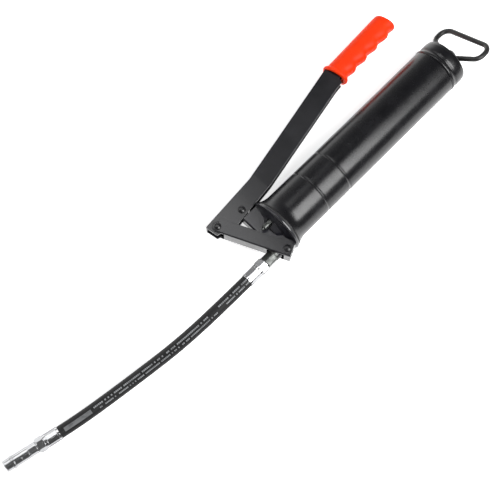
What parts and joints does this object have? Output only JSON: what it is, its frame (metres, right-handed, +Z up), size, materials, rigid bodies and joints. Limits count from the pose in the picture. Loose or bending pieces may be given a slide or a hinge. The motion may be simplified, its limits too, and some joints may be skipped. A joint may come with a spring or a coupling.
{
  "type": "grease gun",
  "caption": "Hand lever grease gun: round black barrel with flanged pump head, channel lever with moulded grip, rear pull loop, and a flexible hose with a coupler for grease nipples.",
  "frame": {"origin": "middle of the gun's own box on the ground it lies on, the hose and its fittings left out", "axes": "+X forward along the barrel towards the pump head, +Z up from the ground, lever on the -Y side"},
  "size_m": [0.7068, 0.1305, 0.066],
  "materials": {
    "barrel_black": "gloss black powder coat",
    "cast_black": "black painted casting",
    "lever_black": "satin black over pressed steel",
    "loop_black": "satin black wire",
    "grip_orange": "satin moulded vinyl",
    "hose_rubber": "smooth black rubber with a light printed dash line",
    "bright_zinc": "bright zinc plate",
    "dark_steel": "blackened machined steel",
    "plain_steel": "oiled plain steel",
    "seal_rubber": "black nitrile rubber"
  },
  "bodies": {
    "root": {"pump_head": "cast_black", "plunger_packing": "seal_rubber", "gland_ring": "plain_steel", "vent_body": "dark_steel", "vent_spring": "plain_steel", "outlet_adaptor": "dark_steel", "valve_spring": "plain_steel", "hose_nut_near": "bright_zinc", "ferrule_near": "bright_zinc", "hose": "hose_rubber", "ferrule_far": "bright_zinc", "hose_nut_far": "bright_zinc", "coupler_body": "bright_zinc", "coupler_nose": "bright_zinc", "coupler_spring": "plain_steel"},
    "seal": {"barrel_seal": "seal_rubber"},
    "barrel": {"barrel_tube": "barrel_black", "rear_cap": "barrel_black", "rod_bush": "plain_steel", "follower_spring": "plain_steel"},
    "follower": {"follower_cup": "seal_rubber", "follower_front_washer": "plain_steel", "follower_rear_washer": "plain_steel"},
    "pull_rod": {"pull_rod": "plain_steel", "rod_nut": "plain_steel", "rod_circlip": "dark_steel", "loop_hub": "loop_black", "pull_loop": "loop_black"},
    "link": {"link": "lever_black", "rivet_lever_link": "lever_black", "rivet_link_head": "lever_black"},
    "lever": {"lever": "lever_black", "rivet_lever_plunger": "lever_black", "lever_grip": "grip_orange"},
    "plunger": {"plunger": "plain_steel"},
    "vent": {"vent_pin": "plain_steel"},
    "outlet_valve": {"valve_ball": "plain_steel"},
    "jaws": {"coupler_jaws": "dark_steel", "coupler_seal": "seal_rubber"}
  },
  "joints": [
    {"name": "lever_pump", "type": "hinge", "parent": "link", "child": "lever", "pos_m": [0.17973, -0.01496, 0.02481], "axis": [-0.0147, -0.2079, 0.978], "range_deg": [0, 50]},
    {"name": "link_swing", "type": "hinge", "parent": "root", "child": "link", "pos_m": [0.14401, 0.05488, 0.03912], "axis": [-0.0147, -0.2079, 0.978], "range_deg": [-4.2, 0.2]},
    {"name": "plunger_stroke", "type": "slide", "parent": "root", "child": "plunger", "axis": [0.0031, -0.9781, -0.2079], "range_m": [-0.0002, 0.028]},
    {"name": "barrel_unscrew", "type": "hinge", "parent": "seal", "child": "barrel", "pos_m": [0.00312, 0.0271, 0.0311], "axis": [-0.9999, 0, -0.015], "range_deg": [0, 1080]},
    {"name": "seal_slide", "type": "slide", "parent": "root", "child": "seal", "axis": [-0.9999, 0, -0.015], "range_m": [-0.0001, 0.0061]},
    {"name": "follower_pull", "type": "slide", "parent": "barrel", "child": "follower", "axis": [-0.9999, 0, -0.015], "range_m": [0, 0.19], "stiffness_N_per_m": 250, "springref_m": -0.05, "deforming": ["follower_spring"]},
    {"name": "rod_turn", "type": "hinge", "parent": "follower", "child": "pull_rod", "pos_m": [-0.15687, 0.0271, 0.0287], "axis": [-0.9999, 0, -0.015], "continuous": true},
    {"name": "vent_press", "type": "slide", "parent": "root", "child": "vent", "axis": [-0.9999, 0, -0.015], "range_m": [0, 0.0015], "stiffness_N_per_m": 800, "springref_m": -0.002, "deforming": ["vent_spring"]},
    {"name": "outlet_valve_lift", "type": "slide", "parent": "root", "child": "outlet_valve", "axis": [0.9999, 0, 0.015], "range_m": [0, 0.0012], "stiffness_N_per_m": 800, "springref_m": -0.002, "deforming": ["valve_spring"]},
    {"name": "coupler_jaws_press", "type": "slide", "parent": "root", "child": "jaws", "axis": [-0.9765, 0.2145, -0.0224], "range_m": [0, 0.0012], "stiffness_N_per_m": 2000, "springref_m": -0.002, "deforming": ["coupler_spring"]}
  ],
  "couplings": [
    {"joint": "link_swing", "follows": "lever_pump", "ratio": -0.08},
    {"joint": "plunger_stroke", "follows": "lever_pump", "m_per_rad": 0.0318},
    {"joint": "seal_slide", "follows": "barrel_unscrew", "m_per_rad": 0.00031831}
  ]
}
